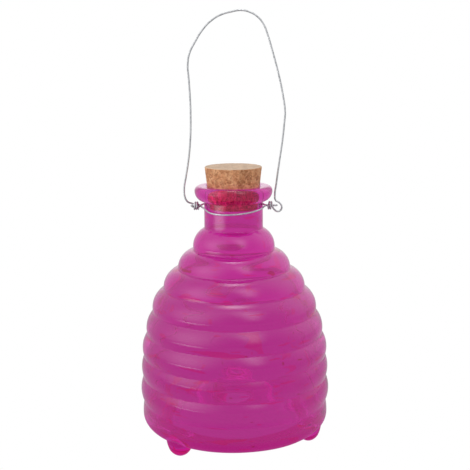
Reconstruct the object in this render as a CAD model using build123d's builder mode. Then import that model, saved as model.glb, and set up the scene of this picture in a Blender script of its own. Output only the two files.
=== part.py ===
"""Glass beehive wasp trap: ribbed jar with an inturned entry funnel, three glass feet, a tapered cork,
a wire collar under the lip and a hand-bent wire bail whose coiled ends turn on the collar's two stubs.

Frame: millimetres, +Z up, origin on the jar's axis at the level of the feet, -Y is the front.
"""
from build123d import *
from math import acos, asin, cos, degrees, hypot, pi, radians, sin, tan
import os

os.makedirs("parts", exist_ok=True)

# ---- glass jar ---------------------------------------------------------------------------------------------
WALL = 2.6                # glass thickness
NECK_R = 21.0             # outside of the neck
SHOULDER_Z = 156.5        # where the neck meets the top rib
LIP_BASE_Z = 176.0        # where the neck starts to flare into the lip
LIP_R = 27.8              # widest part of the rolled lip
LIP_Z = 183.0             # height of that widest part
LIP_UNDER = (25.9, 178.3)     # on the curve under the lip
LIP_OVER = (27.0, 185.8)      # on the curve over it
RIM_R = 24.6              # outer edge of the lip's flat top
RIM_Z = 187.0             # top of the glass
RIM_INNER_R = 20.6        # inner edge of that flat top
MOUTH_ROUND = (19.35, 186.3)  # on the rounded edge of the mouth
MOUTH_R = 18.85           # throat that grips the cork
MOUTH_Z = 184.6
BORE_R = 18.2             # inside of the neck
BORE_TOP_Z = 175.0        # where the bore starts to open towards the mouth
# The creases between the ribs, from the shoulder down: radius, height.
CREASES = [(29.2, 140.8), (40.6, 127.2), (51.2, 112.4), (59.2, 95.8), (63.6, 79.6), (66.2, 63.4),
           (66.8, 47.4), (66.8, 30.0)]
BULGES = [3.0, 3.3, 3.3, 3.2, 2.3, 2.2, 1.7, 2.2]   # how far each rib stands out of the chord of its creases
INNER_SHARE = 0.75        # how much of a bulge the inside of the glass follows
# The surface of the beehive leans back most at the shoulder and stands upright at the widest rib: degrees.
LEANS = [48, 42, 33, 20, 11, 4, 1, -1]
CREASE_FILLET = 0.8
BASE_CREST = (67.8, 20.5)     # the bottom rib at its widest
BASE_UPPER = (67.6, 24.8)     # on the curve above it
BASE_INNER = (62.3, 17.0)     # on the inside of the rounded bottom edge
BASE_Z = 10.0             # underside of the jar
BASE_CORNER_R = 57.8      # where the rounded bottom edge meets the flat ring
FOOTING_R = 51.0          # inner edge of the flat ring, where the funnel starts
# The funnel that the wasps climb: an inverted cone rising from the base to a round entry hole.
FUNNEL_UNDER = (44.6, 12.3)   # on the curve into the funnel, below and above the glass
FUNNEL_OVER = (45.6, 14.6)
FUNNEL_LOW = (40.0, 16.0)
FUNNEL_LOW_OVER = (41.2, 18.4)
ENTRY_R = 13.5
ENTRY_Z = 45.0
ENTRY_LIP = 1.0           # height of the rounded edge of the entry hole
# The glass is one blown piece. It is cut face to face where a bottle maker would name its parts, so that each
# part keeps its hollow: from height, to height.
FUNNEL_R = 45.6
RINGS = {"jar_lip": (LIP_BASE_Z, RIM_Z), "jar_neck": (SHOULDER_Z, LIP_BASE_Z), "jar_shoulder": (95.8, SHOULDER_Z),
         "jar_body": (18.0, 95.8), "jar_base": (BASE_Z, 18.0)}

# ---- feet --------------------------------------------------------------------------------------------------
FOOT_RING_R = 55.3
FOOT_ANGLES = {"foot_front": -134.8, "foot_right": -14.8, "foot_back": 105.2}   # about +Z from +X
FOOT_TOP_R = 9.5
FOOT_TOP_Z = 18.0
FOOT_PAD_R = 3.0
FOOT_WAIST_R = 6.4
FOOT_WAIST_Z = 3.2
FOOT_EDGE = (5.1, 1.1)        # on the curve from the pad to the waist
FOOT_SIDE = (8.4, 9.0)        # on the curve from the waist to the top

# ---- cork --------------------------------------------------------------------------------------------------
CORK_BOTTOM_Z = 170.7
CORK_HEIGHT = 30.0
CORK_TOP_R = 20.4
CORK_BOTTOM_R = 17.15
CORK_CHAMFER = 0.6

# ---- wires -------------------------------------------------------------------------------------------------
WIRE = 1.3                # diameter of both wires
HINGE_Z = 172.5           # the bail swings about a line along X at this height
COLLAR_R = 22.1           # bend radius of the collar round the neck, at the wire's centre
STRAND_Y = 0.7            # half the distance between the two strands of a stub
STUB_X = 23.4             # where the strands close up beside the neck
COLLAR_BEND = 1.5
EYE_X = 28.9              # the right stub opens into a small eye that keeps the bail on
EYE_HALF = 1.25
EYE_TIP_X = 31.5
SHORT_TAIL_X = -29.0
LONG_TAIL_X = -31.4
COLLAR_FRONT_Z = [169.2, 169.7, 170.8, 171.8]   # the collar sags at the front, left to right
COLLAR_BACK_Z = 174.3
COIL_R = 2.45             # the bail's end coils, at the wire's centre
COIL_PITCH = 1.5
COIL_BEND = 1.9
LEG_BEND = 1.2            # where the bail leaves the left coil
FIRST_BEND = 4.0          # at the foot of its left leg
LAST_BEND = 2.4           # at the foot of its right leg, into the pigtail
PIGTAIL_BENDS = [2.8, 2.6, 2.2]
RUN_SHARE = 0.45          # how much of a run one bend may take up


def rib(start, end, bulge):
    """One rib's outline: an arc from crease to crease that stands out by bulge."""
    run, rise = end[0] - start[0], end[1] - start[1]
    chord = hypot(run, rise)
    middle = ((start[0] + end[0]) / 2 - rise / chord * bulge, (start[1] + end[1]) / 2 + run / chord * bulge)
    return ThreePointArc(start, middle, end)


def inner_point(point, lean):
    """The point one wall thickness inside an outline point whose surface leans back by this many degrees."""
    return (point[0] - WALL * cos(radians(lean)), point[1] - WALL * sin(radians(lean)))


def corners_at(sketch, places):
    """The sketch's vertices that stand at these outline points."""
    return [v for v in sketch.vertices() if any(hypot(v.X - r, v.Z - z) < 0.01 for r, z in places)]


INNER_CREASES = [inner_point(point, lean) for point, lean in zip(CREASES, LEANS)]
CORNER = (BASE_CORNER_R, BASE_Z)
CORNER_MID = (BASE_CORNER_R + (BASE_CREST[0] - BASE_CORNER_R) * sin(pi / 4),
              BASE_CREST[1] - (BASE_CREST[1] - BASE_Z) * sin(pi / 4))
ENTRY_TOP = ENTRY_Z - ENTRY_LIP

with BuildPart() as glass_jar:
    with BuildSketch(Plane.XZ) as outline:
        with BuildLine():
            Line((0, RIM_Z), (RIM_R, RIM_Z))
            ThreePointArc((RIM_R, RIM_Z), LIP_OVER, (LIP_R, LIP_Z))
            ThreePointArc((LIP_R, LIP_Z), LIP_UNDER, (NECK_R, LIP_BASE_Z))
            Line((NECK_R, LIP_BASE_Z), (NECK_R, SHOULDER_Z))
            tops = [(NECK_R, SHOULDER_Z)] + CREASES[:-1]
            for top, bottom, bulge in zip(tops, CREASES, BULGES):
                rib(top, bottom, bulge)
            ThreePointArc(CREASES[-1], BASE_UPPER, BASE_CREST)
            ThreePointArc(BASE_CREST, CORNER_MID, CORNER)
            Line(CORNER, (0, BASE_Z))
            Line((0, BASE_Z), (0, RIM_Z))
        make_face()
        fillet(corners_at(outline, CREASES), CREASE_FILLET)
    revolve(axis=Axis.Z)
    with BuildSketch(Plane.XZ) as hollow:
        with BuildLine():
            shoulder = (BORE_R, SHOULDER_Z - 1.5)
            Line((0, RIM_Z), (RIM_INNER_R, RIM_Z))
            ThreePointArc((RIM_INNER_R, RIM_Z), MOUTH_ROUND, (MOUTH_R, MOUTH_Z))
            Line((MOUTH_R, MOUTH_Z), (BORE_R, BORE_TOP_Z))
            Line((BORE_R, BORE_TOP_Z), shoulder)
            inner_tops = [shoulder] + INNER_CREASES[:-1]
            for top, bottom, bulge in zip(inner_tops, INNER_CREASES, BULGES):
                rib(top, bottom, bulge * INNER_SHARE)
            floor = (BASE_CORNER_R - 1.0, BASE_Z + WALL)
            ThreePointArc(INNER_CREASES[-1], BASE_INNER, floor)
            Line(floor, (FOOTING_R, BASE_Z + WALL))
            ThreePointArc((FOOTING_R, BASE_Z + WALL), FUNNEL_OVER, FUNNEL_LOW_OVER)
            Line(FUNNEL_LOW_OVER, (ENTRY_R + WALL, ENTRY_TOP))
            ThreePointArc((ENTRY_R + WALL, ENTRY_TOP), (ENTRY_R + WALL / 2, ENTRY_Z), (ENTRY_R, ENTRY_TOP))
            Line((ENTRY_R, ENTRY_TOP), (0, ENTRY_TOP))
            Line((0, ENTRY_TOP), (0, RIM_Z))
        make_face()
        fillet(corners_at(hollow, INNER_CREASES[:-1]), CREASE_FILLET + WALL / 2)
    revolve(axis=Axis.Z, mode=Mode.SUBTRACT)
    with BuildSketch(Plane.XZ):
        with BuildLine():
            above = ENTRY_Z + 1.0
            Line((0, 0), (FOOTING_R, 0))
            Line((FOOTING_R, 0), (FOOTING_R, BASE_Z))
            ThreePointArc((FOOTING_R, BASE_Z), FUNNEL_UNDER, FUNNEL_LOW)
            Line(FUNNEL_LOW, (ENTRY_R, ENTRY_Z - WALL))
            Line((ENTRY_R, ENTRY_Z - WALL), (ENTRY_R, above))
            Line((ENTRY_R, above), (0, above))
            Line((0, above), (0, 0))
        make_face()
    revolve(axis=Axis.Z, mode=Mode.SUBTRACT)

for ring_name, (low, high) in RINGS.items():
    with BuildPart() as ring:
        add(glass_jar.part)
        with BuildSketch(Plane.XY.offset(low)):
            Circle(BASE_CREST[0] + 10)
            if low < ENTRY_Z:
                Circle(FUNNEL_R, mode=Mode.SUBTRACT)
        extrude(amount=high - low, mode=Mode.INTERSECT)
    ring.part.label = ring_name
    export_step(ring.part, f"parts/{ring_name}.step")

with BuildPart() as entry_funnel:
    add(glass_jar.part)
    with BuildSketch(Plane.XY):
        Circle(FUNNEL_R)
    extrude(amount=ENTRY_Z, mode=Mode.INTERSECT)
entry_funnel.part.label = "entry_funnel"
export_step(entry_funnel.part, "parts/entry_funnel.step")

# ---- feet: hot glass gobs pressed onto the rounded bottom edge -----------------------------------------------
for foot_name, angle in FOOT_ANGLES.items():
    centre = Vector(FOOT_RING_R, 0, 0).rotate(Axis.Z, angle)
    with BuildPart() as foot:
        with BuildSketch(Plane(origin=centre, x_dir=(1, 0, 0), z_dir=(0, -1, 0))):
            with BuildLine():
                Line((0, 0), (FOOT_PAD_R, 0))
                ThreePointArc((FOOT_PAD_R, 0), FOOT_EDGE, (FOOT_WAIST_R, FOOT_WAIST_Z))
                ThreePointArc((FOOT_WAIST_R, FOOT_WAIST_Z), FOOT_SIDE, (FOOT_TOP_R, FOOT_TOP_Z))
                Line((FOOT_TOP_R, FOOT_TOP_Z), (0, FOOT_TOP_Z))
                Line((0, FOOT_TOP_Z), (0, 0))
            make_face()
        revolve(axis=Axis(centre, (0, 0, 1)))
        # The gob ends where the jar's rounded bottom edge begins.
        with BuildSketch(Plane.XZ):
            with BuildLine():
                clear = FOOT_TOP_Z + 5
                Line((0, BASE_Z), CORNER)
                ThreePointArc(CORNER, CORNER_MID, BASE_CREST)
                Line(BASE_CREST, (BASE_CREST[0], clear))
                Line((BASE_CREST[0], clear), (0, clear))
                Line((0, clear), (0, BASE_Z))
            make_face()
        revolve(axis=Axis.Z, mode=Mode.SUBTRACT)
    foot.part.label = foot_name
    export_step(foot.part, f"parts/{foot_name}.step")

# ---- cork --------------------------------------------------------------------------------------------------
with BuildPart() as cork_stopper:
    with BuildSketch(Plane.XY.offset(CORK_BOTTOM_Z)):
        Circle(CORK_BOTTOM_R)
    with BuildSketch(Plane.XY.offset(CORK_BOTTOM_Z + CORK_HEIGHT)):
        Circle(CORK_TOP_R)
    loft()
    chamfer(cork_stopper.edges().filter_by(GeomType.CIRCLE), CORK_CHAMFER)
cork_stopper.part.label = "cork_stopper"
export_step(cork_stopper.part, "parts/cork_stopper.step")


# ---- wires -------------------------------------------------------------------------------------------------
def wire_part(name, points, radii):
    """A round wire along straight runs joined by tangent arcs."""
    with BuildPart() as part:
        with BuildLine() as path:
            FilletPolyline(*points, radius=radii)
        with BuildSketch(Plane(origin=path.wire() @ 0, z_dir=path.wire() % 0)):
            Circle(WIRE / 2)
        sweep(path=path.wire())
    length = path.wire().length
    print(f"{name}: length {length:.1f} mm, volume {part.part.volume:.1f} of {length * pi * WIRE ** 2 / 4:.1f} mm3")
    part.part.label = name
    export_step(part.part, f"parts/{name}.step")
    return part


def arc_points(heights, first, last):
    """Corners of an open polygon drawn round the neck from one angle to another, one height each."""
    step = (last - first) / len(heights)
    radius = COLLAR_R / cos(radians(step / 2))
    angles = [first + step * (i + 0.5) for i in range(len(heights))]
    return [(radius * cos(radians(a)), radius * sin(radians(a)), z) for a, z in zip(angles, heights)]


# Where the strands leave the neck: the tangent from a stub's root to the bend circle.
LEAVE = degrees(acos(COLLAR_R / hypot(STUB_X, STRAND_Y)) + asin(STRAND_Y / STUB_X))
front = arc_points(COLLAR_FRONT_Z, -180 + LEAVE, -LEAVE)
back = arc_points([COLLAR_BACK_Z] * 4, LEAVE, 180 - LEAVE)
eye = [(STUB_X, -STRAND_Y, HINGE_Z), (EYE_X, -STRAND_Y, HINGE_Z), (EYE_X + 0.8, -EYE_HALF, HINGE_Z),
       (EYE_TIP_X, -EYE_HALF, HINGE_Z), (EYE_TIP_X, EYE_HALF, HINGE_Z), (EYE_X + 0.8, EYE_HALF, HINGE_Z),
       (EYE_X, STRAND_Y, HINGE_Z), (STUB_X, STRAND_Y, HINGE_Z)]
collar_points = [(SHORT_TAIL_X, -STRAND_Y, HINGE_Z), (-STUB_X, -STRAND_Y, HINGE_Z)] + front + eye
collar_points += back + [(-STUB_X, STRAND_Y, HINGE_Z), (LONG_TAIL_X, STRAND_Y, HINGE_Z)]
round_neck = COLLAR_R * 0.86
collar_radii = [COLLAR_BEND] + [round_neck] * 4 + [COLLAR_BEND, 0.9, 0.8, 1.2, 1.2, 0.8, 0.9, COLLAR_BEND]
collar_radii += [round_neck] * 4 + [COLLAR_BEND]
wire_part("neck_wire", collar_points, collar_radii)


def coil(start_x, direction, corners):
    """Corners of a coil about the hinge line that advances in x by one pitch a turn."""
    step = COIL_PITCH / 4 * direction
    return [(start_x + step * i, y * COIL_R, HINGE_Z + z * COIL_R) for i, (y, z) in enumerate(corners)]


def open_bends(points):
    """The largest radii that the runs between these points leave room for, one for each inner point."""
    bends = []
    for before, here, after in zip(points, points[1:], points[2:]):
        runs = [Vector(*here) - Vector(*before), Vector(*after) - Vector(*here)]
        half_turn = radians(runs[0].get_angle(runs[1])) / 2
        bends.append(RUN_SHARE * min(run.length for run in runs) / tan(half_turn))
    return bends


# The bail, from the end of the left coil, over the top, down the right side, round the pigtail and into
# the right coil.
left_coil = coil(-28.0, 1, [(1, -1), (-1, -1), (-1, 1), (1, 1), (1, -1), (-1, -1), (-1, 0.6)])
right_coil = coil(27.0, -1, [(-1, 1), (1, 1), (1, -1), (-1, -1), (-1, 1), (1, 1), (1, -0.6)])
handle = [(-36.2, 0, 178.2), (-31.6, 0, 205), (-29.5, 0, 231), (-29.7, 0, 254), (-31.9, 0, 273.8),
          (-26.2, 0, 288), (-17, 0, 301), (3, 0, 309.6), (16, 0, 306.4), (23.8, 0, 296), (28.2, 0, 279.6),
          (37.6, 0, 240), (34.4, 0, 213), (30.6, 0, 188), (29.4, 0, 176.2)]
pigtail = [(34.6, -0.6, 173.6), (33.8, -1.6, 167.4), (29.8, -2.3, 168.2)]
left_leg = (-28.5, COIL_R + 0.35, 173.0)
bail_points = left_coil[::-1] + [left_leg] + handle + pigtail + right_coil
handle_bends = open_bends(handle)
print("handle bends", [round(bend) for bend in handle_bends])
bail_radii = [COIL_BEND] * 6 + [LEG_BEND, FIRST_BEND] + handle_bends + [LAST_BEND] + PIGTAIL_BENDS
bail_radii += [COIL_BEND] * 6
wire_part("bail_wire", bail_points, bail_radii)
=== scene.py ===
"""Looks of the glass beehive wasp trap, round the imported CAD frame. Metres, +Z up, -Y is the front."""
from math import atan2, cos, exp, hypot, log, pi, radians, sin

import bmesh
import bpy
import numpy as np
from mathutils import Matrix, Vector, noise


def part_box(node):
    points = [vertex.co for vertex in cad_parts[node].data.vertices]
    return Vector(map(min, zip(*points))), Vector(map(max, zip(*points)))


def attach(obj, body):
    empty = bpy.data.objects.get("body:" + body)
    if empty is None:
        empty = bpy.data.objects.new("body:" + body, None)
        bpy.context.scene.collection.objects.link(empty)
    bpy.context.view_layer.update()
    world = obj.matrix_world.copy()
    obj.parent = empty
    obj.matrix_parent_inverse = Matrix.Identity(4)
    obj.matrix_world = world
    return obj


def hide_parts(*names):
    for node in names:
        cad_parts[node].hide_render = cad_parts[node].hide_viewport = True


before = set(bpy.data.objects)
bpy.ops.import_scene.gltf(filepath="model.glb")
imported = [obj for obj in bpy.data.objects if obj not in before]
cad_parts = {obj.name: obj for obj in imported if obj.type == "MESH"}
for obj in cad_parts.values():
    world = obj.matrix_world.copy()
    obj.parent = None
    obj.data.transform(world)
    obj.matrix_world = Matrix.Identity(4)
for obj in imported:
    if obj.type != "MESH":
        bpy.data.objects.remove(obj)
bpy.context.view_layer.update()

MM = 0.001

# ---- the jar's outline, millimetres: radius, height ----------------------------------------------
WALL = 2.6
NECK_R, BORE_R, MOUTH_R = 21.0, 18.2, 18.85
SHOULDER = (NECK_R, 156.5)
CREASES = [(29.2, 140.8), (40.6, 127.2), (51.2, 112.4), (59.2, 95.8), (63.6, 79.6), (66.2, 63.4),
           (66.8, 47.4), (66.8, 30.0)]
BULGES = [3.0, 3.3, 3.3, 3.2, 2.3, 2.2, 1.7, 2.2]
LEANS = [48, 42, 33, 20, 11, 4, 1, -1]      # degrees that the surface leans back at each crease
CREST = (67.8, 20.5)
CORNER = (57.8, 10.0)
FOOTING_R, FUNNEL_LOW = 51.0, (40.0, 16.0)
ENTRY_R, ENTRY_Z = 13.5, 45.0
FOOT_RING_R = 55.3
CORK_BOTTOM_R = 17.15
CORK_SEED = 7
FOOT_NAMES = ("foot_front", "foot_right", "foot_back")
FOOT_ANGLES = (-134.8, -14.8, 105.2)
FOOT_STRETCH = ((1.0, 1.06), (1.0, 1.0), (1.03, 0.97))
FOOT_Z = 0.3
SEGMENTS = 256
# Browns of the cork's crumbs, darkest first.
CORK_TONES = [(0.18, (0.36, 0.14, 0.062)), (0.38, (0.56, 0.25, 0.115)), (0.58, (0.68, 0.34, 0.165)),
              (0.80, (0.80, 0.46, 0.25))]
COLOURED, PALE = (0.86, 0.034, 0.49), (0.97, 0.70, 0.92)     # the glass's colour is laid on its outside
PAINTED_STREAK_SHADE, PAINTED_PATCH_SHADE = (0.97, 0.001, 0.30), (0.55, 0.006, 0.11)      # painted shade: darker streaks and a few brown-red patches that stand in for the glass's refraction
# Blisters on the inside: degrees from the front, height, half width, half height, depth.
BLISTERS = [(-9, 37.5, 5.4, 3.0, 0.6), (-31, 62.5, 3.0, 2.2, 0.5), (38, 88.0, 3.2, 4.0, 0.3),
            (-44, 54.0, 4.0, 2.0, 0.3), (150, 70.0, 4.5, 3.0, 0.35), (-120, 90.0, 5.0, 3.0, 0.3),
            (80, 40.0, 4.0, 3.0, 0.35)]
OUTSIDE_WANDER, INSIDE_WANDER = 0.12, 0.45    # how much the two sides of the glass stray, in millimetres
BORE_WANDER = 0.08                            # the share of that left where the cork sits


def arc(start, middle, end, step=0.25):
    """Points along the circle through three points, without the last."""
    ax, ay = start
    bx, by = middle
    cx, cy = end
    d = 2 * (ax * (by - cy) + bx * (cy - ay) + cx * (ay - by))
    sa, sb, sc = ax * ax + ay * ay, bx * bx + by * by, cx * cx + cy * cy
    ox = (sa * (by - cy) + sb * (cy - ay) + sc * (ay - by)) / d
    oy = (sa * (cx - bx) + sb * (ax - cx) + sc * (bx - ax)) / d
    radius = hypot(ax - ox, ay - oy)
    first, last = atan2(ay - oy, ax - ox), atan2(cy - oy, cx - ox)
    turn = (last - first) % (2 * pi)
    if (atan2(by - oy, bx - ox) - first) % (2 * pi) > turn:
        turn -= 2 * pi
    count = max(2, int(abs(turn) * radius / step))
    return [(ox + radius * cos(first + turn * i / count), oy + radius * sin(first + turn * i / count))
            for i in range(count)]


def line(start, end, step=0.25):
    count = max(1, int(hypot(end[0] - start[0], end[1] - start[1]) / step))
    return [(start[0] + (end[0] - start[0]) * i / count, start[1] + (end[1] - start[1]) * i / count)
            for i in range(count)]


def rib(start, end, bulge):
    run, rise = end[0] - start[0], end[1] - start[1]
    chord = hypot(run, rise)
    middle = ((start[0] + end[0]) / 2 - rise / chord * bulge, (start[1] + end[1]) / 2 + run / chord * bulge)
    return arc(start, middle, end)


def jar_outline():
    """The closed outline of the glass: down the outside, up the funnel, down it again and up the inside.

    Each point is a radius, a height, and 1 on the inside of the glass or 0 on the outside.
    """
    part = sin(pi / 4)
    corner_mid = (CORNER[0] + (CREST[0] - CORNER[0]) * part, CREST[1] - (CREST[1] - CORNER[1]) * part)
    points = line((20.6, 187.0), (24.6, 187.0)) + arc((24.6, 187.0), (27.0, 185.8), (27.8, 183.0))
    points += arc((27.8, 183.0), (25.9, 178.3), (NECK_R, 176.0)) + line((NECK_R, 176.0), SHOULDER)
    tops = [SHOULDER] + CREASES[:-1]
    for top, bottom, bulge in zip(tops, CREASES, BULGES):
        points += rib(top, bottom, bulge)
    points += arc(CREASES[-1], (67.6, 24.8), CREST) + arc(CREST, corner_mid, CORNER)
    points += line(CORNER, (FOOTING_R, 10.0)) + arc((FOOTING_R, 10.0), (44.6, 12.3), FUNNEL_LOW)
    points += line(FUNNEL_LOW, (ENTRY_R, ENTRY_Z - WALL))
    points += line((ENTRY_R, ENTRY_Z - WALL), (ENTRY_R, ENTRY_Z - 1))
    points += arc((ENTRY_R, ENTRY_Z - 1), (ENTRY_R + WALL / 2, ENTRY_Z), (ENTRY_R + WALL, ENTRY_Z - 1))
    outside = len(points)
    funnel_top = (FUNNEL_LOW[0] + 1.2, FUNNEL_LOW[1] + 2.4)
    points += line((ENTRY_R + WALL, ENTRY_Z - 1), funnel_top)
    points += arc(funnel_top, (45.6, 14.6), (FOOTING_R, 12.6))
    floor = (CORNER[0] - 1, 12.6)
    inner = [(r - WALL * cos(radians(a)), z - WALL * sin(radians(a))) for (r, z), a in zip(CREASES, LEANS)]
    points += line((FOOTING_R, 12.6), floor) + arc(floor, (62.3, 17.0), inner[-1])
    shoulder = (BORE_R, SHOULDER[1] - 1.5)
    tops = [shoulder] + inner[:-1]
    for top, bottom, bulge in reversed(list(zip(tops, inner, BULGES))):
        points += rib(bottom, top, -bulge * 0.75)
    points += line(shoulder, (BORE_R, 175.0)) + line((BORE_R, 175.0), (MOUTH_R, 184.6))
    points += arc((MOUTH_R, 184.6), (19.35, 186.3), (20.6, 187.0))
    return np.column_stack([np.array(points), np.arange(len(points)) >= outside])


def smooth_closed(points, passes):
    for _ in range(passes):
        points = (np.roll(points, 1, 0) + 2 * points + np.roll(points, -1, 0)) / 4
    return points


def thin_out(points, fine=0.25, coarse=2.0):
    """Keeps more of a closed outline's points where it turns sharply."""
    before, after = (points - np.roll(points, 1, 0))[:, :2], (np.roll(points, -1, 0) - points)[:, :2]
    lengths = np.linalg.norm(after, axis=1)
    cross = np.abs(before[:, 0] * after[:, 1] - before[:, 1] * after[:, 0])
    turn = cross / (np.linalg.norm(before, axis=1) * lengths + 1e-9) / (lengths + 1e-9)
    step = np.clip(0.16 / (turn + 1e-3), fine, coarse)
    for _ in range(6):
        step = np.minimum(step, (np.roll(step, 1) + np.roll(step, -1)) / 2 + 0.05)
    travelled = np.concatenate([[0], np.cumsum(lengths / step)])
    count = int(travelled[-1])
    wanted = np.arange(count) * travelled[-1] / count
    closed = np.vstack([points, points[:1]])
    return np.column_stack([np.interp(wanted, travelled, closed[:, k]) for k in range(3)])


def clear_rows(outline):
    """1 for each row of faces that is only faintly coloured: the inside, and the funnel's underside."""
    r, z, inside = outline.T
    return ((inside > 0.5) | ((r < FOOTING_R - 2) & (z < ENTRY_Z + 1))).astype(int)


def lathe(name, outline, segments=SEGMENTS, wobble=None):
    """A mesh turned from a closed outline. wobble moves a point along its normal, in millimetres."""
    tangent = (np.roll(outline, -1, 0) - np.roll(outline, 1, 0))[:, :2]
    tangent /= np.linalg.norm(tangent, axis=1)[:, None]
    normal = np.column_stack([-tangent[:, 1], tangent[:, 0]])
    verts, faces = [], []
    rows = len(outline)
    for s in range(segments):
        angle = 2 * pi * s / segments
        c, w = cos(angle), sin(angle)
        for (r, z, inside), (nr, nz) in zip(outline, normal):
            shift = wobble(r, z, c, w, inside) if wobble else 0
            radius, height = r + nr * shift, z + nz * shift
            verts.append((radius * c * MM, radius * w * MM, height * MM))
    for s in range(segments):
        a, b = s * rows, (s + 1) % segments * rows
        for i in range(rows):
            j = (i + 1) % rows
            faces.append((a + i, a + j, b + j, b + i))
    mesh = bpy.data.meshes.new(name)
    mesh.from_pydata(verts, [], faces)
    mesh.polygons.foreach_set("use_smooth", [True] * len(mesh.polygons))
    mesh.polygons.foreach_set("material_index", list(clear_rows(outline)) * segments)
    obj = bpy.data.objects.new(name, mesh)
    bpy.context.scene.collection.objects.link(obj)
    tidy = bmesh.new()
    tidy.from_mesh(mesh)
    bmesh.ops.recalc_face_normals(tidy, faces=tidy.faces)
    tidy.to_mesh(mesh)
    tidy.free()
    return obj


def turned(name, profile, segments, centre=(0, 0), stretch=(1, 1), turn=0):
    """A closed solid turned from a profile that starts and ends on its axis. stretch widens it."""
    shape = bmesh.new()
    rings = []
    for r, z in profile:
        if r < 1e-6:
            rings.append([shape.verts.new((centre[0] * MM, centre[1] * MM, z * MM))] * segments)
            continue
        ring = []
        for s in range(segments):
            angle = 2 * pi * s / segments
            out, along = r * cos(angle) * stretch[0], r * sin(angle) * stretch[1]
            x = centre[0] + out * cos(turn) - along * sin(turn)
            y = centre[1] + out * sin(turn) + along * cos(turn)
            ring.append(shape.verts.new((x * MM, y * MM, z * MM)))
        rings.append(ring)
    for low, high in zip(rings, rings[1:]):
        for s in range(segments):
            corners = [low[s], low[(s + 1) % segments], high[(s + 1) % segments], high[s]]
            shape.faces.new(list(dict.fromkeys(corners)))
    bmesh.ops.recalc_face_normals(shape, faces=shape.faces)
    mesh = bpy.data.meshes.new(name)
    shape.to_mesh(mesh)
    shape.free()
    mesh.polygons.foreach_set("use_smooth", [True] * len(mesh.polygons))
    obj = bpy.data.objects.new(name, mesh)
    bpy.context.scene.collection.objects.link(obj)
    return obj


def combine(body, tool, operation):
    """Applies a boolean to body and deletes the tool."""
    modifier = body.modifiers.new(operation, "BOOLEAN")
    modifier.operation, modifier.object, modifier.solver = operation, tool, "EXACT"
    result = bpy.data.meshes.new_from_object(body.evaluated_get(bpy.context.evaluated_depsgraph_get()))
    body.modifiers.clear()
    body.data = result
    bpy.data.objects.remove(tool)


def foot_gob(name, angle, stretch):
    """A gob of glass pressed onto the rounded bottom edge, cut off half way into the wall."""
    profile = [(0, FOOT_Z)] + arc((2.0, FOOT_Z), (5.1, 2.1), (7.4, 5.0), 0.4)
    profile += arc((7.4, 5.0), (8.9, 9.5), (9.5, 18.0), 0.6) + [(9.5, 18.0), (0, 18.0)]
    around = radians(angle)
    centre = (FOOT_RING_R * cos(around), FOOT_RING_R * sin(around))
    gob = turned(name, profile, 64, centre, stretch, around)
    core = [(0, 11.3)] + arc((57.3, 11.3), (63.6, 15.0), (66.0, 22.0), 0.5)
    core += [(66.0, 22.0), (66.0, 30.0), (0, 30.0)]
    combine(gob, turned("core", core, 180), "DIFFERENCE")
    return gob


def glass_wobble(r, z, c, w, inside):
    """Uneven glass: the mould holds the outside, and the inside wanders in long level waves."""
    place = Vector((r * c, r * w, z))
    slow = noise.noise(place / 30)
    if not inside or r < FOOTING_R - 2 and z < ENTRY_Z + 1:
        return OUTSIDE_WANDER * slow
    waves = noise.noise(Vector((place.x / 24, place.y / 24, z / 6.5)) + Vector((3, 8, 5)))
    blister = 0
    for turn, height, half_width, half_height, deep in BLISTERS:
        if abs(z - height) < 2 * half_height:
            across = r * ((atan2(c, -w) - radians(turn) + pi) % (2 * pi) - pi)
            reach = hypot(across / half_width, (z - height) / half_height)
            blister += deep * exp(-((reach - 0.8) / 0.28) ** 2)
    bored = min(1, max(BORE_WANDER, (172 - z) / 14))
    return (INSIDE_WANDER * bored * (waves + 0.7 * slow) - blister) * inside


# ---- materials -----------------------------------------------------------------------------------
def new_material(name):
    material = bpy.data.materials.new(name)
    material.use_nodes = True
    return material, material.node_tree.nodes, material.node_tree.links


def glass_material(name, colour):
    material, nodes, _ = new_material(name)
    shader = nodes["Principled BSDF"]
    shader.inputs["Base Color"].default_value = (*colour, 1)
    shader.inputs["Roughness"].default_value = 0.0
    shader.inputs["IOR"].default_value = 1.5
    shader.inputs["Transmission Weight"].default_value = 1
    return material


def streak(material, sums, place, stretch, few, crisp):
    """1 in some ragged patches, 0 elsewhere. stretch is the noise's scale along X, Y and Z, a metre."""
    nodes, links = material.node_tree.nodes, material.node_tree.links
    scaled = nodes.new("ShaderNodeVectorMath")
    scaled.operation = "MULTIPLY"
    links.new(place, scaled.inputs[0])
    scaled.inputs[1].default_value = stretch
    return sums.spread(grain(nodes, links, scaled.outputs[0], 1, 2, 0.6), few, few + crisp, 0, 1, True)


def glass_with_painted_streaks(name, colour):
    """Blown glass with painted shade: level streaks of deeper magenta and a few brown-red patches, laid on
    the colour in place of the dark lines that the glass's refraction makes.
    """
    material = glass_material(name, colour)
    nodes, links = material.node_tree.nodes, material.node_tree.links
    sums = Sums(material.node_tree)
    place = nodes.new("ShaderNodeTexCoord").outputs["Object"]
    # Painted shade: level streaks of deeper magenta, standing in for refraction.
    deep = streak(material, sums, place, (38, 38, 190), 0.635, 0.012)
    mixed = blend_colour(nodes, links, deep, colour, PAINTED_STREAK_SHADE)
    # Painted shade: a few brown-red patches, also standing in for refraction.
    painted_patch_mask = streak(material, sums, place, (45, 45, 90), 0.70, 0.015)
    mixed = blend_colour(nodes, links, painted_patch_mask, mixed, PAINTED_PATCH_SHADE)
    links.new(mixed, nodes["Principled BSDF"].inputs["Base Color"])
    return material


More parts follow.
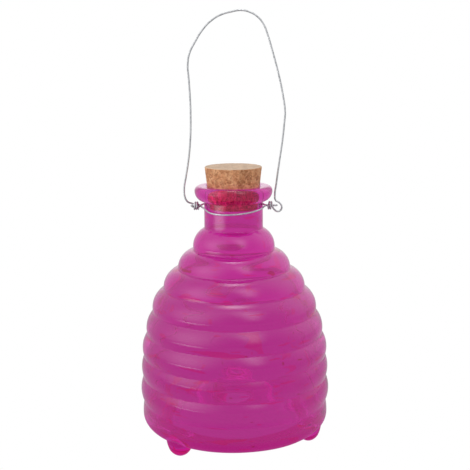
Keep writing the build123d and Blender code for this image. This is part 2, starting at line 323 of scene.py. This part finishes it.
class Sums:
    """Short names for the arithmetic nodes of one node tree."""

    def __init__(self, tree):
        self.nodes, self.links = tree.nodes, tree.links

    def math(self, operation, a, b=None):
        node = self.nodes.new("ShaderNodeMath")
        node.operation = operation
        for socket, value in zip(node.inputs, (a, b)):
            self.put(socket, value)
        return node.outputs[0]

    def put(self, socket, value):
        if value is None:
            return
        if isinstance(value, (int, float)):
            socket.default_value = value
        else:
            self.links.new(value, socket)

    def spread(self, value, low, high, out_low, out_high, smooth=False):
        node = self.nodes.new("ShaderNodeMapRange")
        node.interpolation_type = "SMOOTHSTEP" if smooth else "LINEAR"
        for socket, number in zip(node.inputs, (value, low, high, out_low, out_high)):
            self.put(socket, number)
        return node.outputs["Result"]

    def not_seen_through(self):
        """1 for what the object reflects or is lit by, 0 for what the glass bends towards the camera."""
        path = self.nodes.new("ShaderNodeLightPath")
        direct = self.math("SUBTRACT", 1, path.outputs["Is Transmission Ray"])
        return self.math("MAXIMUM", direct, self.math("MINIMUM", path.outputs["Diffuse Depth"], 1))

    def seen_or_lit(self, lit):
        """White where the camera looks straight at it, and lit where the object reflects or bends it.

        Matt surfaces get a little more of that light, and those behind glass more again.
        """
        path = self.nodes.new("ShaderNodeLightPath")
        behind = self.math("MINIMUM", path.outputs["Transmission Depth"], 1)
        fill = self.math("ADD", self.math("MULTIPLY", behind, GLASS_FILL), MATT_FILL)
        fill = self.math("MULTIPLY", fill, self.math("MINIMUM", path.outputs["Diffuse Depth"], 1))
        lit = self.math("MULTIPLY", lit, self.math("ADD", fill, 1))
        return self.math("MAXIMUM", path.outputs["Is Camera Ray"], self.math(
            "MULTIPLY", lit, self.math("SUBTRACT", 1, path.outputs["Is Camera Ray"])))


def wire_material():
    """Galvanised wire: bright steel under a mottled zinc skin, duller where it has been handled."""
    material, nodes, links = new_material("galvanised_wire")
    shader = nodes["Principled BSDF"]
    place = nodes.new("ShaderNodeTexCoord").outputs["Object"]
    mottle = grain(nodes, links, place, 900, 3)
    scratch = grain(nodes, links, place, 5200, 2)
    ramp(nodes, links, mottle, shader.inputs["Base Color"],
         [(0.30, (0.36, 0.37, 0.39)), (0.52, (0.60, 0.61, 0.63)), (0.75, (0.78, 0.79, 0.81))])
    ramp(nodes, links, mottle, shader.inputs["Roughness"], [(0.3, (0.42,) * 3), (0.7, (0.22,) * 3)])
    shader.inputs["Metallic"].default_value = 0.75
    bump(nodes, links, scratch, shader, 0.25, 0.00004)
    return material


def grain(nodes, links, place, scale, detail, roughness=0.55):
    texture = nodes.new("ShaderNodeTexNoise")
    texture.inputs["Scale"].default_value = scale
    texture.inputs["Detail"].default_value = detail
    texture.inputs["Roughness"].default_value = roughness
    links.new(place, texture.inputs["Vector"])
    return texture.outputs["Fac"]


def ramp(nodes, links, value, socket, stops):
    """Colours by value. Each stop is a place from 0 to 1 and a colour."""
    node = nodes.new("ShaderNodeValToRGB")
    for _ in stops[2:]:
        node.color_ramp.elements.new(0.5)
    for element, (place, colour) in zip(node.color_ramp.elements, stops):
        element.position = place
        element.color = (*colour, 1)
    links.new(value, node.inputs[0])
    if socket is not None:
        links.new(node.outputs[0], socket)
    return node.outputs[0]


def bump(nodes, links, height, shader, strength, distance):
    node = nodes.new("ShaderNodeBump")
    node.inputs["Strength"].default_value = strength
    node.inputs["Distance"].default_value = distance
    links.new(height, node.inputs["Height"])
    links.new(node.outputs[0], shader.inputs["Normal"])


def blend_colour(nodes, links, share, a, b, kind="MIX"):
    node = nodes.new("ShaderNodeMix")
    node.data_type, node.blend_type = "RGBA", kind
    for index, value in ((0, share), (6, a), (7, b)):
        if isinstance(value, (int, float)):
            node.inputs[index].default_value = value
        elif isinstance(value, tuple):
            node.inputs[index].default_value = (*value, 1)
        else:
            links.new(value, node.inputs[index])
    return node.outputs[2]


def cork_material():
    """Pressed cork: crumbs of two sizes in their own browns, dark gaps, bark specks, and a paler, greyer
    colour on faces that point up.
    """
    material, nodes, links = new_material("pressed_cork")
    shader = nodes["Principled BSDF"]
    sums = Sums(material.node_tree)
    place = nodes.new("ShaderNodeTexCoord").outputs["Object"]
    bend = nodes.new("ShaderNodeTexNoise")
    bend.inputs["Scale"].default_value = 420
    links.new(place, bend.inputs["Vector"])
    stray = nodes.new("ShaderNodeVectorMath")
    stray.operation = "MULTIPLY_ADD"
    links.new(bend.outputs["Color"], stray.inputs[0])
    stray.inputs[1].default_value = (0.0016, 0.0016, 0.0016)
    links.new(place, stray.inputs[2])
    tones, gaps = [], []
    for scale, width in ((330, 0.11), (760, 0.16)):
        crumbs = nodes.new("ShaderNodeTexVoronoi")
        crumbs.inputs["Scale"].default_value = scale
        links.new(stray.outputs[0], crumbs.inputs["Vector"])
        tones.append(crumbs.outputs["Color"])
        edges = nodes.new("ShaderNodeTexVoronoi")
        edges.feature = "DISTANCE_TO_EDGE"
        edges.inputs["Scale"].default_value = scale
        links.new(stray.outputs[0], edges.inputs["Vector"])
        gaps.append(sums.spread(edges.outputs["Distance"], 0, width, 1, 0, True))
    big = ramp(nodes, links, tones[0], None, CORK_TONES)
    small = ramp(nodes, links, tones[1], None, CORK_TONES)
    colour = blend_colour(nodes, links, 0.5, big, small)
    specks = grain(nodes, links, place, 1500, 3, 0.7)
    speckled = sums.spread(specks, 0.57, 0.62, 0, 0.8, True)
    colour = blend_colour(nodes, links, speckled, colour, (0.23, 0.06, 0.028))
    patches = sums.spread(grain(nodes, links, place, 170, 2), 0.42, 0.62, 0.15, 1, True)
    dark = sums.math("MULTIPLY", sums.math("MAXIMUM", gaps[0], sums.math("MULTIPLY", gaps[1], 0.55)), patches)
    colour = blend_colour(nodes, links, sums.math("MULTIPLY", dark, 0.6), colour, (0.33, 0.12, 0.05))
    # Faces that point up are blended paler and greyer.
    facing = nodes.new("ShaderNodeSeparateXYZ")
    links.new(nodes.new("ShaderNodeTexCoord").outputs["Normal"], facing.inputs[0])
    top = sums.spread(facing.outputs["Z"], 0.3, 0.8, 0, 0.72, True)
    colour = blend_colour(nodes, links, top, colour, (0.48, 0.40, 0.31))
    links.new(colour, shader.inputs["Base Color"])
    shader.inputs["Roughness"].default_value = 0.82
    shader.inputs["Specular IOR Level"].default_value = 0.3
    height = sums.math("SUBTRACT", sums.math("MULTIPLY", specks, 0.35), dark)
    bump(nodes, links, height, shader, 0.8, 0.0004)
    return material


def dress(obj, *materials):
    """Gives an object these materials. Clearing the old ones would also lose which face takes which."""
    chosen = np.zeros(len(obj.data.polygons), dtype=int)
    obj.data.polygons.foreach_get("material_index", chosen)
    obj.data.materials.clear()
    for material in materials:
        obj.data.materials.append(material)
    obj.data.polygons.foreach_set("material_index", chosen)


def cork_piece():
    """The tapered cork, with rounded edges, crumbs that stand out a little, and small pits."""
    low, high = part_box("cork_stopper")
    bottom, top = low[2] / MM, high[2] / MM
    wide, narrow = high[0] / MM, CORK_BOTTOM_R
    edge = 0.7
    profile = [(r, bottom) for r in np.arange(0, narrow - edge, 0.8)]
    profile += arc((narrow - edge, bottom), (narrow - 0.2, bottom + 0.2), (narrow, bottom + edge), 0.25)
    profile += line((narrow, bottom + edge), (wide, top - edge), 0.4)
    profile += arc((wide, top - edge), (wide - 0.2, top - 0.2), (wide - edge, top), 0.25)
    profile += [(r, top) for r in np.arange(wide - edge, 0.5, -0.6)] + [(0, top)]
    obj = turned("cork", profile, 320)
    noise.seed_set(CORK_SEED)      # noise_vector takes its offsets from the clock otherwise
    for vertex in obj.data.vertices:
        place = vertex.co / MM
        crumb = noise.cell(place / 2.6 + 0.35 * noise.noise_vector(place / 1.7)) - 0.5
        fine = noise.noise(place / 0.9)
        pit = max(0.0, noise.noise(place / 1.9 + Vector((4, 9, 2))) - 0.42)
        on_top = place.z > top - 0.5
        shift = (0.05 * crumb + 0.07 * fine - 2.2 * pit) * (0.35 if on_top else 1)
        outward = Vector((0, 0, 1)) if on_top else Vector((place.x, place.y, 0)).normalized()
        vertex.co += outward * (shift - 0.05) * MM
    return obj


# ---- wires: millimetres, routes listed -----------------------------------------------------------
WIRE_R = 0.65
HINGE_Z = 172.5
# The collar's left stub: half the distance between its strands, its root, and the length of one twist.
STRAND, STUB_X, TWIST = 0.68, 23.6, 4.2
COLLAR_R = 22.1
COIL_R, COIL_PITCH, COIL_STEPS = 2.45, 1.38, 12
# How the collar runs round the neck: degrees from +X, height.
COLLAR_FRONT = [(-157, 171.4), (-138, 169.6), (-114, 169.1), (-90, 169.4), (-66, 170.1), (-42, 171.1),
                (-23, 171.9)]
COLLAR_BACK = [(23, 173.1), (45, 173.9), (75, 174.3), (105, 174.3), (135, 173.8), (157, 173.1)]
COLLAR_EYE = [(23.5, -0.75), (26.2, -0.7), (28.4, -0.8), (29.5, -1.0), (30.5, -0.9), (31.0, 0), (30.5, 0.9),
              (29.5, 1.0), (28.4, 0.8), (26.2, 0.7), (23.5, 0.75)]
# The bail from the left coil over the top and down to the right coil: across, forward, up.
BAIL = [(-29.2, 2.3, 173.6), (-31.2, 1.9, 174.3), (-33.3, 0.6, 175.8), (-34.9, 0, 179.8),
        (-35.1, 0, 185.2), (-33.6, 0, 194.0), (-31.8, 0, 204.5), (-30.3, 0, 218.0), (-29.7, 0, 234.0),
        (-29.9, 0, 249.0), (-30.6, 0, 262.0), (-31.2, 0, 271.5), (-29.9, 0, 279.5), (-25.8, 0, 287.5),
        (-20.7, 0, 295.4), (-14.9, 0, 301.4), (-8.4, 0, 305.4), (-0.8, 0, 307.6), (6.1, 0, 308.6),
        (12.5, 0, 307.2), (17.5, 0, 304.2), (21.4, 0, 299.6), (24.4, 0, 292.5), (27.3, 0, 282.8),
        (31.8, 0, 266.4), (35.2, 0, 250.5), (36.7, 0, 239.3), (36.1, 0, 230.0), (34.8, 0, 218.0),
        (32.6, 0, 203.0), (30.6, 0, 188.0), (29.6, 0, 179.8), (30.2, -0.2, 176.0), (32.5, -0.5, 174.6),
        (34.3, -0.9, 172.2), (33.9, -1.4, 169.4), (31.6, -1.9, 168.3), (29.4, -2.3, 169.5)]


def wire_piece(name, points, node, body):
    """A round wire that passes smoothly through its points."""
    curve = bpy.data.curves.new(name, "CURVE")
    curve.dimensions = "3D"
    curve.bevel_depth, curve.bevel_resolution, curve.resolution_u = 1, 4, 5      # times each knot's radius
    curve.use_fill_caps = True
    spline = curve.splines.new("BEZIER")
    spline.bezier_points.add(len(points) - 1)
    for knot, place in zip(spline.bezier_points, points):
        knot.co = Vector(place) * MM
        knot.radius = WIRE_R * MM
        knot.handle_left_type = knot.handle_right_type = "AUTO"
    obj = bpy.data.objects.new(name, curve)
    bpy.context.scene.collection.objects.link(obj)
    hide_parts(node)
    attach(obj, body)
    return obj


def coil(start_x, start_turn, direction, turns):
    """Close turns of wire about the hinge line."""
    places = []
    for i in range(int(turns * COIL_STEPS) + 1):
        angle = radians(start_turn - 360 / COIL_STEPS * i)
        x = start_x + direction * COIL_PITCH * i / COIL_STEPS
        places.append((x, COIL_R * cos(angle), HINGE_Z + COIL_R * sin(angle)))
    return places


def collar_route():
    """From one tail through the left twist, round the front to the eye, round the back and out again."""
    def twisted(first, last, phase):
        count = 14
        places = []
        for i in range(count + 1):
            x = first + (last - first) * i / count
            angle = phase + 2 * pi * (x + STUB_X) / TWIST
            places.append((x, STRAND * cos(angle), HINGE_Z + STRAND * sin(angle)))
        return places

    def round_neck(stations):
        return [(COLLAR_R * cos(radians(a)), COLLAR_R * sin(radians(a)), z) for a, z in stations]

    eye = [(x, y, HINGE_Z) for x, y in COLLAR_EYE]
    return (twisted(-29.2, -STUB_X, pi) + round_neck(COLLAR_FRONT) + eye + round_neck(COLLAR_BACK)
            + twisted(-STUB_X, -30.4, 0))


# ---- the pieces ----------------------------------------------------------------------------------
outline = thin_out(smooth_closed(jar_outline(), 4))
jar = lathe("jar_glass", outline, wobble=glass_wobble)
for name, angle, stretch in zip(FOOT_NAMES, FOOT_ANGLES, FOOT_STRETCH):
    combine(jar, foot_gob(name + "_gob", angle, stretch), "UNION")
jar.data.set_sharp_from_angle(angle=radians(40))
dress(jar, glass_with_painted_streaks("magenta_glass", COLOURED), glass_material("pale_glass", PALE))
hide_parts("jar_lip", "jar_neck", "jar_shoulder", "jar_body", "jar_base", "entry_funnel",
            *FOOT_NAMES)
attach(jar, "jar")
cork = cork_piece()
dress(cork, cork_material())
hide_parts("cork_stopper")
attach(cork, "cork")
wire = wire_material()
collar = wire_piece("collar_wire", collar_route(), "neck_wire", "collar")
bail_route = coil(-28.3, 0, 1, 2.3)[::-1] + BAIL + coil(27.5, 180, -1, 2.0)
bail = wire_piece("bail", bail_route, "bail_wire", "bail")
for piece in (collar, bail):
    piece.data.materials.append(wire)

# ---- floor, light and camera ---------------------------------------------------------------------
# The studio's brightness as the glass sees it. The camera itself sees plain white behind the object.
FLOOR_NEAR, FLOOR_FAR = 0.50, 0.60      # the floor under the object and far behind it
POOL_AT, POOL = (-0.8, -0.5, 0), 2.8  # a brighter place on the floor, front left
HORIZON, ZENITH = 0.62, 0.75
MATT_FILL, GLASS_FILL = 0.15, 0.6       # how much more light matt surfaces get, and those behind glass
UNDER_JAR = (0.92, 0.30, 0.72)          # how much of the light the jar lets through to the floor under it
FRONT_SHADE = 0.30                      # how much darker it is on the camera's side
# Soft lamps: degrees to the right of the camera, degrees up, half width in degrees, brightness.
# They and the floor's bright place show in reflections and light matt surfaces.
# They aren't seen through glass.
LAMPS = [(27, 26, 9, 1.0), (27, 42, 10, 1.3), (25, 58, 12, 1.4), (-62, 22, 24, 1.5), (-40, 60, 20, 0.4),
         (115, 30, 25, 0.5), (0, 96, 8, 4.5),
         (180, 12, 16, 0.6)]


def towards(right, up):
    """The direction so many degrees to the right of the camera's side and so many degrees up."""
    a, e = radians(right), radians(up)
    return sin(a) * cos(e), -cos(a) * cos(e), sin(e)


def white_floor():
    """Plain white to the camera. Under the jar it is lit through the glass, so the glass sees it coloured."""
    material, nodes, links = new_material("white_floor")
    nodes.clear()
    sums = Sums(material.node_tree)
    place = nodes.new("ShaderNodeNewGeometry")
    distance = nodes.new("ShaderNodeVectorMath")
    distance.operation = "LENGTH"
    links.new(place.outputs["Position"], distance.inputs[0])
    away = distance.outputs["Value"]
    lit = sums.spread(away, 0.1, 1.6, FLOOR_NEAR, FLOOR_FAR, True)
    aside = nodes.new("ShaderNodeVectorMath")
    aside.operation = "DISTANCE"
    links.new(place.outputs["Position"], aside.inputs[0])
    aside.inputs[1].default_value = POOL_AT
    pool = sums.spread(aside.outputs["Value"], 0.1, 0.55, POOL, 0, True)
    lit = sums.math("ADD", lit, sums.math("MULTIPLY", pool, sums.not_seen_through()))
    colour = nodes.new("ShaderNodeCombineColor")
    for socket, share in zip(colour.inputs, UNDER_JAR):
        under = sums.spread(away, 0.055, 0.12, share, 1, True)
        links.new(sums.seen_or_lit(sums.math("MULTIPLY", lit, under)), socket)
    emission = nodes.new("ShaderNodeEmission")
    links.new(colour.outputs[0], emission.inputs["Color"])
    links.new(emission.outputs[0], nodes.new("ShaderNodeOutputMaterial").inputs["Surface"])
    return material


def studio():
    world = bpy.data.worlds.new("studio")
    world.use_nodes = True
    nodes, links = world.node_tree.nodes, world.node_tree.links
    sums = Sums(world.node_tree)
    direction = nodes.new("ShaderNodeTexCoord").outputs["Generated"]
    split = nodes.new("ShaderNodeSeparateXYZ")
    links.new(direction, split.inputs[0])
    sky = sums.spread(split.outputs["Z"], 0, 0.8, HORIZON, ZENITH)
    light = sums.math("MULTIPLY", sky, sums.spread(split.outputs["Y"], -1, 0.2, 1 - FRONT_SHADE, 1, True))
    reflected = sums.not_seen_through()
    for right, up, half_width, brightness in LAMPS:
        facing = nodes.new("ShaderNodeVectorMath")
        facing.operation = "DOT_PRODUCT"
        links.new(direction, facing.inputs[0])
        facing.inputs[1].default_value = towards(right, up)
        glow = sums.math("POWER", sums.math("MAXIMUM", facing.outputs["Value"], 0),
                         log(0.5) / log(cos(radians(half_width))))
        glow = sums.math("MULTIPLY", glow, reflected)
        light = sums.math("ADD", light, sums.math("MULTIPLY", glow, brightness))
    nodes["Background"].inputs["Color"].default_value = (1, 1, 1, 1)
    links.new(sums.seen_or_lit(light), nodes["Background"].inputs["Strength"])
    return world


bpy.ops.mesh.primitive_plane_add(size=6)
floor = bpy.context.object
floor.name = "floor"
dress(floor, white_floor())
scene = bpy.context.scene
scene.world = studio()
scene.view_settings.view_transform = "Standard"
scene.cycles.max_bounces = 120
scene.cycles.transmission_bounces = 120
scene.cycles.glossy_bounces = 120
scene.cycles.diffuse_bounces = 6

CAMERA_BACK, CAMERA_UP, CAMERA_SIDE = 0.6732, 0.2789, 0.0009
PITCH, ROLL = radians(10.76), radians(0.41)
LENS = 72.92
camera = bpy.data.cameras.new("camera")
camera.lens = LENS
camera.sensor_width = 36
eye = bpy.data.objects.new("camera", camera)
eye.matrix_world = (Matrix.Translation((CAMERA_SIDE, -CAMERA_BACK, CAMERA_UP))
                    @ Matrix.Rotation(pi / 2 - PITCH, 4, "X") @ Matrix.Rotation(-ROLL, 4, "Z"))
scene.collection.objects.link(eye)
scene.camera = eye
